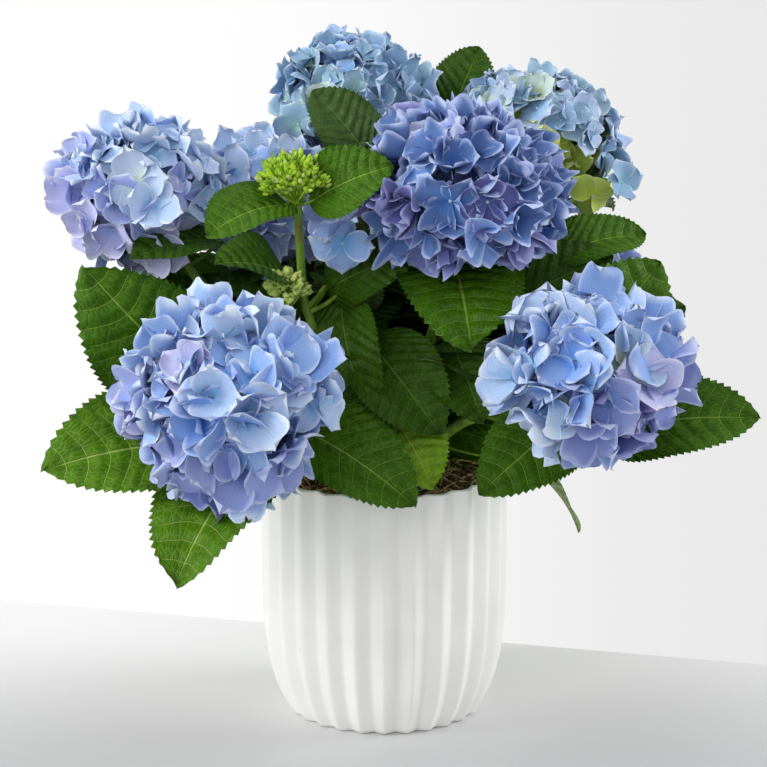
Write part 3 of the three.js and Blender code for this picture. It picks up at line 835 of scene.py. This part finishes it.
def buildHead(node):
    head = {**plainHead, **heads[node]}
    stem = next(s for s in stemHeads if stemHeads[s] == node)
    centre = headCentre(node)
    shift = np.array(head["shift"])
    hub = stemPaths[stem][0][-1] + shift
    axis = unit(centre - centreLine(stem)[0][-1])
    solid = nodes[node].data
    skin = BVHTree.FromPolygons([v.co for v in solid.vertices], [tuple(p.vertices) for p in solid.polygons])
    radius = np.linalg.norm(nodePoints(node) - centre, axis=1).mean()
    spots, normals, isInside = [], [], []
    for depth, share in florets["layers"]:
        directions = layerDirections(head, share, radius, axis)
        reach = np.array([(skin.ray_cast(Vector(centre), Vector(d))[3] or radius) for d in directions])
        bumps = np.sin(directions @ [4.1, 2.3, 3.7] + len(heads)) * np.sin(directions @ [-2.9, 5.1, 2.2])
        reach *= head["reach"] * depth * rng.uniform(0.93, 1.0, len(reach)) * (1 + florets["bumps"] * bumps)
        if "dent" in head:  # one side lies closer to the middle
            way, amount = head["dent"]
            reach *= 1 - amount * np.clip(directions @ unit(way), 0, 1) ** 3
        spots.append(centre + shift + directions * reach[:, None] * head["stretch"])
        normals.append(directions + rng.normal(0, head["tilt"] * 0.6, directions.shape))
        isInside += [share < 1] * len(directions)
    for share, faces, _ in head["hanging"]:  # florets that hang out of the ball on longer rays
        spots.append(inBox(node, share)[None])
        normals.append(np.array(faces)[None])
        isInside.append(False)
    at, normal = np.vstack(spots), np.vstack(normals)
    normal /= np.linalg.norm(normal, axis=1)[:, None]
    size = head["size"] * rng.uniform(0.85, 1.12, len(at))
    store, twigs = newStore(), newStore()
    ways = (at - centre) / np.linalg.norm(at - centre, axis=1)[:, None]
    slots = pickColours(head, ways, isInside)
    for way, name in head["accents"]:
        slots[(ways @ unit(way) - np.array(isInside)).argmax()] = petalOrder.index(name)
    for i, (_, _, name) in enumerate(reversed(head["hanging"])):
        slots[-1 - i] = petalOrder.index(name)
    addSepals(store, at, normal, size, head, slots)
    addBeads(store, at + normal * size[:, None] * sepal["lift"], size / head["size"] * florets["beadRadius"],
             np.full(len(at), beadSlot))
    for spot, out in zip(at, normal):
        bend = hub + (spot - hub) * florets["rayBend"] - out * florets["rayDip"]
        rod(twigs, smoothPath([hub, bend, spot], 4), florets["rayRadius"], florets["raySides"], 0)
    piece = joinPiece(node.replace("bloom", "florets"), store, petalMaterials)
    rays = joinPiece(node.replace("bloom", "rays"), twigs, [stemMaterial])
    for made, slot in ((piece, "petal"), (rays, "stem")):
        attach(made, "root")
    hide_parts(node)
    return len(piece.data.polygons)


print("flower heads:", sum(buildHead(node) for node in heads), "faces")


buds = {"bud_head": {"clusters": 26, "beads": 20, "bead": 0.0018, "sink": 0.0055, "flat": 0.85, "slot": 0,
                     "drawn": 1.25},
        "bud_head_small": {"clusters": 14, "beads": 14, "bead": 0.0021, "sink": 0.0, "flat": 1.0, "slot": 1,
                           "drawn": 1.1}}


cluster = {"reach": (0.68, 0.84), "spread": 0.2, "scatter": 0.25, "rayRadius": 0.0008, "rayBend": 0.6,
           "paleShare": 0.12, "paleSlot": 1, "rise": 0.3}


def buildBud(node):
    bud = buds[node]
    store = newStore()
    centre = headCentre(node)
    half = (boxes[node][1] - boxes[node][0]) / 2
    hub = centre - np.array([0, 0, half[2]])
    centre = centre - np.array([0, 0, bud["sink"]])
    half = half * (1, 1, bud["flat"])
    directions = spreadDirections(int(bud["clusters"] * 1.5))
    directions = directions[directions[:, 2] > -0.3][:bud["clusters"]]
    for out in directions:
        middle = centre + out * half * rng.uniform(*cluster["reach"])
        ray = smoothPath([hub, hub + (middle - hub) * cluster["rayBend"], middle], 4)
        rod(store, ray, cluster["rayRadius"], florets["raySides"], 0)
        near = spreadDirections(bud["beads"]) + rng.normal(0, cluster["scatter"], (bud["beads"], 3))
        spots = middle + near * half.mean() * cluster["spread"] * rng.uniform(0.6, 1.2, (len(near), 1))
        sizes = bud["bead"] * rng.uniform(0.6, 1.1, len(near))
        slots = np.where(rng.random(len(near)) < cluster["paleShare"], cluster["paleSlot"], bud["slot"])
        addBeads(store, spots, sizes, slots, unit(out + (0, 0, cluster["rise"])) * bud["drawn"])
    piece = joinPiece(node.replace("head", "cluster"), store, budMaterials)
    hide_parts(node)
    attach(piece, "root")


for node in buds:
    buildBud(node)
print("buds ready")


def addLeaf(store, base, tip, faces, width, colour, arch=0.1, fold=0.25, curl=0.0, teeth=25, detail=5):
    base, tip = np.asarray(base, float), np.asarray(tip, float)
    length = np.linalg.norm(tip - base)
    along = (tip - base) / length
    side = unit(np.cross(np.asarray(faces, float), along))
    up = np.cross(along, side)
    tooth = np.arange(teeth)
    stations = np.sort(np.concatenate([tooth / teeth, (tooth + 0.62) / teeth, [1.0]]))
    s = np.clip(0.004 + 0.996 * stations, 0, 1)[:, None]
    half = [0.0, 0.2, 0.42, 0.64, 0.84, 1.0] if detail >= 5 else [0.0, 0.35, 0.72, 1.0]
    t = np.array([-step for step in half[:0:-1]] + half)[None, :]
    off = np.abs(t)
    a, b = leafShape["base"], leafShape["point"]
    widest = (a / (a + b)) ** a * (b / (a + b)) ** b
    outline = s ** a * (1 - s) ** b / widest * width / 2
    bite = (np.arange(len(s)) % 2)[:, None] * np.minimum(1, 8 * (1 - s)) * np.minimum(1, 10 * s)
    edge = off ** 6
    y = t * (outline + edge * bite * width * leafShape["toothOut"])
    x = s * length + edge * bite * length * leafShape["toothForward"]
    x = x - leafShape["sweep"] * width * off ** 1.5 * (1 - s) * np.sin(math.pi * s)
    phase = leafShape["veins"] * (s - leafShape["veinLean"] * (1 - s) * off ** leafShape["veinBow"])
    toVein = np.abs(phase - np.floor(phase) - 0.5)
    quilt = (0.5 - toVein) * 2 * np.minimum(1, 3.2 * off) * (1 - off ** 4)
    seedA, seedB = rng.uniform(0, 6.3, 2)
    z = arch * length * 4 * s * (1 - s) + fold * outline * off ** 1.15
    z = z + leafShape["quilt"] * width * quilt
    z = z - leafShape["groove"] * width * np.exp(-(off / 0.1) ** 2)
    z = z + leafShape["edgeWave"] * width * edge ** 0.5 * np.sin(9 * s + seedA + 1.3 * np.sign(t))
    z = z + leafShape["sway"] * width * np.sin(3.5 * s + seedB) * t
    z = z - curl * length * s ** 3
    spots = base + x[..., None] * along + y[..., None] * side + z[..., None] * up
    belly = spots - up * leafShape["thick"] * (1 - 0.6 * edge)[..., None]
    rows, columns = spots.shape[:2]
    quad = gridQuads(rows - 1, columns - 1, columns)
    uv = np.stack(np.broadcast_arrays((t + 1) / 2, s), -1)
    gather(store, spots, quad, uv, leafOrder.index(colour))
    gather(store, belly, quad[:, [0, 3, 2, 1]], uv, leafOrder.index("under"))


def nearestStem(point):
    best = None
    for path, _ in stemPaths.values():
        rise = path[path[:, 2] < point[2] + 0.012]
        if not len(rise):
            continue
        away = np.linalg.norm(rise - point, axis=1)
        i = away.argmin()
        if best is None or away[i] < best[0]:
            best = (away[i], rise[i])
    return best[1]


stalkShape = {"steps": 9, "sides": 6, "sag": 0.08, "foot": 1.35, "end": 0.8, "underLeaf": 0.006,
              "perWidth": 0.026, "inner": 0.0015}
stalks = newStore()


def addStalk(start, end, toward, radius):  # a leaf stalk from a stem to the leaf's foot
    sag = np.array([0, 0, -stalkShape["sag"]]) * np.linalg.norm(end - start) * 0.5
    points = [start, (start + end) / 2 + sag, end, end + toward * stalkShape["underLeaf"]]
    radii = np.linspace(radius * stalkShape["foot"], radius * stalkShape["end"], stalkShape["steps"])
    rod(stalks, smoothPath(points, stalkShape["steps"]), radii, stalkShape["sides"], 0)


# Each big leaf: the node whose place it takes, its foot and tip as shares of that node's box,
# the way its upper side faces, its width in metres and its colour.
bigLeaves = {
    "leavesLeft": [
        ("leaves_left_high", (0.93, 0.86, 0.33), (0.02, 0.08, 0.10), (-0.2, -0.55, 0.8), 0.046, "dark"),
        ("leaves_left_mid", (0.84, 0.95, 0.12), (0.06, 0.19, 0.96), (-0.3, -0.9, 0.4), 0.088, "mid"),
        ("leaves_left_back", (0.95, 0.79, 0.08), (0.02, 0.36, 0.86), (-0.4, -0.6, 0.7), 0.072, "dark"),
        ("leaves_left_low", (0.98, 0.90, 0.28), (0.01, 0.14, 0.20), (-0.1, -0.75, 0.6), 0.088, "bright"),
        ("leaves_left_under", (0.80, 0.93, 0.96), (0.16, 0.03, 0.01), (-0.3, -0.6, 0.75), 0.090, "bright"),
    ],
    "leavesMiddle": [
        ("leaves_bud_left", (0.90, 0.91, 0.55), (0.04, 0.10, 0.06), (-0.2, -0.6, 0.8), 0.052, "mid"),
        ("leaves_bud_right", (0.02, 0.84, 0.22), (0.98, 0.54, 0.78), (0, -0.8, 0.6), 0.050, "mid"),
        ("leaves_top_mid", (0.84, 0.34, 0.06), (0.10, 0.96, 0.92), (0.2, -0.9, 0.4), 0.048, "blue"),
        ("leaves_top_back", (0.24, 0.34, 0.01), (0.76, 0.98, 0.96), (0.1, -0.9, 0.4), 0.050, "dark"),
        ("leaves_bud_lower_left", (0.96, 0.82, 0.13), (0.01, 0.15, 0.61), (-0.2, -0.6, 0.8), 0.052, "mid"),
        ("leaves_bud_lower_right", (0.06, 1.3, 0.05), (1.06, 0.95, 0.62), (0.1, -0.8, 0.6), 0.050, "dark"),
        ("leaves_mid_left", (0.42, 0.93, 0.98), (0.82, 0.18, 0.0), (-0.4, -0.9, 0.1), 0.058, "dark"),
        ("leaves_mid", (0.18, 0.98, 0.88), (0.91, 0.12, 0.01), (0.1, -0.9, 0.3), 0.064, "dark"),
        ("leaves_under_centre", (0.45, 0.97, 0.94), (0.57, 0.02, 0.0), (0, -0.6, 0.8), 0.088, "mid"),
        ("leaves_mid_right", (0.37, 0.98, 0.93), (0.74, 0.06, 0.01), (0, -0.9, 0.3), 0.058, "dark"),
        ("leaves_front_left", (0.07, 0.93, 0.79), (0.98, 0.16, 0.03), (-0.1, -0.7, 0.8), 0.066, "mid"),
        ("leaves_front", (0.27, 0.98, 0.91), (0.81, 0.08, 0.0), (0.2, -0.9, 0.4), 0.054, "lime"),
    ],
    "leavesRight": [
        ("leaves_right_high", (0.02, 0.43, 0.16), (0.99, 0.90, 0.54), (0.1, -0.6, 0.8), 0.044, "mid"),
        ("leaves_right_inner", (0.02, 0.61, 0.14), (0.99, 0.93, 0.83), (0, -0.8, 0.5), 0.054, "dark"),
        ("leaves_right_mid", (0.14, 0.37, 0.10), (0.92, 0.95, 0.94), (0.2, -0.9, 0.3), 0.078, "mid"),
        ("leaves_right_outer", (0.04, 0.62, 0.15), (0.99, 0.86, 0.82), (0.3, -0.6, 0.7), 0.070, "dark"),
        ("leaves_right_far", (0.02, 0.82, 0.24), (0.99, 0.38, 0.55), (0, -0.75, 0.65), 0.066, "mid"),
        ("leaves_right_low", (0.88, 0.96, 0.76), (0.04, 0.06, 0.05), (0.2, -0.8, 0.6), 0.064, "mid"),
        ("leaves_right_under", (0.11, 0.99, 0.84), (0.97, 0.03, 0.03), (0.75, 0.1, 0.5), 0.030, "under"),
    ],
    "leavesBack": [
        ("leaves_back_low_left", (0.97, 0.19, 0.67), (0.01, 0.78, 0.02), (-0.2, 0.5, 0.8), 0.080, "mid"),
        ("leaves_back_low", (0.49, 0.0, 0.89), (0.51, 0.98, 0.0), (0, 0.6, 0.8), 0.082, "bright"),
        ("leaves_back_low_right", (0.07, 0.15, 0.77), (0.97, 0.86, 0.0), (0.3, 0.5, 0.8), 0.080, "mid"),
        ("leaves_back_left", (0.96, 0.20, 0.10), (0.01, 0.84, 0.34), (-0.3, 0.4, 0.9), 0.078, "mid"),
        ("leaves_back_high", (0.85, 0.14, 0.13), (0.06, 0.93, 0.53), (-0.2, 0.5, 0.8), 0.072, "bright"),
        ("leaves_back_right", (0.11, 0.14, 0.05), (0.97, 0.92, 0.42), (0.3, 0.5, 0.8), 0.076, "mid"),
    ],
}
moreLeaves = {  # leaves beside those, placed by the box of the node that they grow next to
    "leavesRight": [
        ("leaves_core_right", (0.15, 0.45, -0.35), (0.75, 0.75, -0.05), (0.1, -0.8, 0.6), 0.060, "mid"),
        ("leaves_core_right", (0.30, 0.20, 0.05), (0.95, 0.10, 0.35), (0.1, -0.9, 0.5), 0.062, "dark"),
        ("leaves_core_right", (0.20, 0.30, 0.75), (0.80, 0.10, 1.10), (0.1, -0.9, 0.5), 0.060, "dark"),
    ],
    "leavesLeft": [
        ("leaves_core_left", (0.75, 0.30, 0.45), (0.10, 0.15, 0.75), (-0.1, -0.9, 0.5), 0.060, "dark"),
        ("leaves_core_left", (0.80, 0.30, -0.2), (0.15, 0.10, 0.05), (-0.1, -0.9, 0.5), 0.062, "mid"),
        ("leaves_left_back", (0.90, 1.2, 0.75), (0.36, 0.95, 1.22), (-0.2, -0.7, 0.6), 0.020, "lime"),
    ],
}


def buildBigLeaves(name):
    store = newStore()
    for node, foot, tip, faces, width, colour in bigLeaves[name] + moreLeaves.get(name, []):
        base, point = inBox(node, foot), inBox(node, tip)
        addLeaf(store, base, point, faces, width, colour)
        addStalk(nearestStem(base), base, unit(point - base), width * stalkShape["perWidth"])
    piece = joinPiece(name, store, leafMaterials)
    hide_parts(*[row[0] for row in bigLeaves[name]])
    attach(piece, "root")
    return len(piece.data.polygons)


print("big leaves:", sum(buildBigLeaves(name) for name in bigLeaves), "faces")


# The leaves inside the plant grow in pairs from joints of the stems, one by one out of the moss, and from
# the stems toward the places of the cores.
inner = {"cores": ["leaves_core_left", "leaves_core_right", "leaves_core_back"],
         "joints": (0.3, 0.42, 0.54, 0.66, 0.8), "length": (0.065, 0.10), "stalk": (0.012, 0.028),
         "shape": 0.8, "arch": (0.02, 0.12), "fold": (0.1, 0.35), "curl": (0, 0.15), "perCore": 16,
         "skirt": 18, "skirtHeight": (0.195, 0.235), "front": -0.045, "lowest": 0.18,
         # most inner leaves take the dark colour: painted shade for leaves deep inside the plant
         "colours": ["dark", "dark", "mid", "blue"]}


def insideHead(point, margin):
    for node in list(heads) + list(buds):
        low, high = boxes[node]
        away = (point - (low + high) / 2) / ((high - low) / 2)
        if np.linalg.norm(away) < margin:
            return True
    return False


def level(heading):
    return np.array([math.cos(heading), math.sin(heading), 0])


def addInnerLeaf(store, start, out, slope):  # one leaf out from a joint, unless a flower head is in its way
    stalkLength, length = rng.uniform(*inner["stalk"]), rng.uniform(*inner["length"])
    base = start + out * stalkLength + np.array([0, 0, stalkLength * 0.5])
    tip = base + unit(out + np.array([0, 0, slope])) * length
    if insideHead(tip, 0.9) or insideHead((base + tip) / 2, 0.9) or insideHead(base, 0.8):
        return
    low, high = (np.array(c) for c in cadBounds)
    if (tip < low).any() or (tip > high).any() or tip[2] < inner["lowest"] or tip[1] < inner["front"]:
        return
    faces = np.array([out[0] * 0.5, out[1] * 0.5, 0.9])
    colour = rng.choice(inner["colours"])
    addLeaf(store, base, tip, faces, length * inner["shape"], colour, arch=rng.uniform(*inner["arch"]),
            fold=rng.uniform(*inner["fold"]), curl=rng.uniform(*inner["curl"]), teeth=15, detail=3)
    addStalk(start, base, unit(tip - base), stalkShape["inner"])


def buildInnerLeaves():
    store = newStore()
    turn = 0.0
    for path, _ in stemPaths.values():
        for joint in inner["joints"]:
            turn += 1.1
            start = path[int(joint * (len(path) - 1))]
            for opposite in (0, math.pi):
                out = level(turn + opposite + rng.normal(0, 0.3))
                addInnerLeaf(store, start, out, rng.uniform(-0.55, 0.35))
    for around in np.linspace(0, 2 * math.pi, inner["skirt"], endpoint=False):  # low ones just over the moss
        out = level(around + rng.normal(0, 0.15))
        start = out * rng.uniform(0.005, 0.03) + (0, 0, rng.uniform(*inner["skirtHeight"]))
        addInnerLeaf(store, start, out, rng.uniform(0, 0.5))
    for core in inner["cores"]:
        skin = nodePoints(core)
        for spot in skin[rng.choice(len(skin), inner["perCore"])]:
            start = nearestStem(spot)
            out = spot - start
            out[2] = 0
            addInnerLeaf(store, start + (spot - start) * 0.3, unit(out), rng.uniform(-0.6, 0.5))
    piece = joinPiece("leavesInner", store, leafMaterials)
    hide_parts(*inner["cores"])
    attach(piece, "root")
    return len(piece.data.polygons)


print("inner leaves:", buildInnerLeaves(), "faces")
stalkPiece = joinPiece("leafStalks", stalks, [stemMaterial])
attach(stalkPiece, "root")


# The table's colour darkens from "far" at the back to "front" across "fade": painted shade, where the light
# falls off toward the front.
table = {"back": ((-0.319, 0.255), (0.298, 0.088)), "reach": 3.0, "depth": 2.5,
         "front": "c2c2c4", "far": "f8f8f8", "fade": (-0.2, 0.2), "roughness": 0.55}


def buildTable():
    left, right = (np.array([*p, 0.0]) for p in table["back"])
    way = unit(right - left)
    toFront = np.array([way[1], -way[0], 0])
    middle = (left + right) / 2
    corners = []
    for a, b in ((-1, 0), (-1, 1), (1, 1), (1, 0)):
        corners.append(middle + way * a * table["reach"] + toFront * b * table["depth"])
    mesh = bpy.data.meshes.new("table")
    mesh.from_pydata([tuple(c) for c in corners], [], [(0, 1, 2, 3)])
    top = bpy.data.objects.new("table", mesh)
    scene.collection.objects.link(top)
    made, tree, shader = newMaterial("table_white")
    deep = addNode(tree, "ShaderNodeSeparateXYZ", {0: objectPlace(tree)}).outputs[1]
    # darker toward the front: painted shade
    colour = blendColours(tree, ramp(tree, deep, *table["fade"]), tint(table["front"]), tint(table["far"]))
    wire(tree, shader, {"Base Color": colour, "Roughness": table["roughness"]})
    mesh.materials.append(made)


lamps = {
    "keyLeft": {"at": (-1.8, -0.75, 1.35), "aim": (0, 0, 0.25), "size": (0.9, 1.3), "power": 27},
    "sideRight": {"at": (1.9, 0.1, 0.9), "aim": (0, 0, 0.2), "size": (0.9, 1.3), "power": 20},
    "fillFront": {"at": (-0.7, -1.9, 1.2), "aim": (0, 0, 0.2), "size": (1.2, 1.2), "power": 8},
    "softTop": {"at": (-0.1, -0.3, 1.9), "aim": (0, 0, 0.3), "size": (1.0, 1.0), "power": 3},
}
sky = {"power": 0.58, "fade": (-0.07, 0.13), "left": 1.0, "right": 0.82}


def aimAt(holder, at, aim):
    holder.location = at
    holder.rotation_euler = (Vector(aim) - Vector(at)).to_track_quat("-Z", "Y").to_euler()
    scene.collection.objects.link(holder)


def buildLight():
    for name, lamp in lamps.items():
        area = bpy.data.lights.new(name, "AREA")
        area.shape = "RECTANGLE"
        area.size, area.size_y = lamp["size"]
        area.energy = lamp["power"]
        aimAt(bpy.data.objects.new(name, area), lamp["at"], lamp["aim"])
    world = bpy.data.worlds.new("studio")
    scene.world = world
    world.use_nodes = True
    tree = world.node_tree
    heading = addNode(tree, "ShaderNodeTexCoord").outputs["Generated"]
    sideways = addNode(tree, "ShaderNodeSeparateXYZ", {0: heading}).outputs[0]
    backdrop = ramp(tree, sideways, *sky["fade"], sky["left"], sky["right"])  # the backdrop that the camera sees is painted a little darker to the right, as shade
    seen = addNode(tree, "ShaderNodeLightPath").outputs["Is Camera Ray"]
    power = addNode(tree, "ShaderNodeMix", {0: seen, 2: sky["power"], 3: backdrop}).outputs[0]
    wire(tree, tree.nodes["Background"], {0: (1, 1, 1, 1), 1: power})


shot = {"lens": 141.4, "sensor": 36, "target": (-0.0006, 0, 0.246), "lift": 13.4, "away": 2.2}


def buildCamera():
    lens = bpy.data.cameras.new("camera")
    lens.lens, lens.sensor_width = shot["lens"], shot["sensor"]
    target, lift = Vector(shot["target"]), math.radians(shot["lift"])
    holder = bpy.data.objects.new("camera", lens)
    aimAt(holder, target + Vector((0, -math.cos(lift), math.sin(lift))) * shot["away"], target)
    scene.camera = holder


buildTable()
buildLight()
buildCamera()
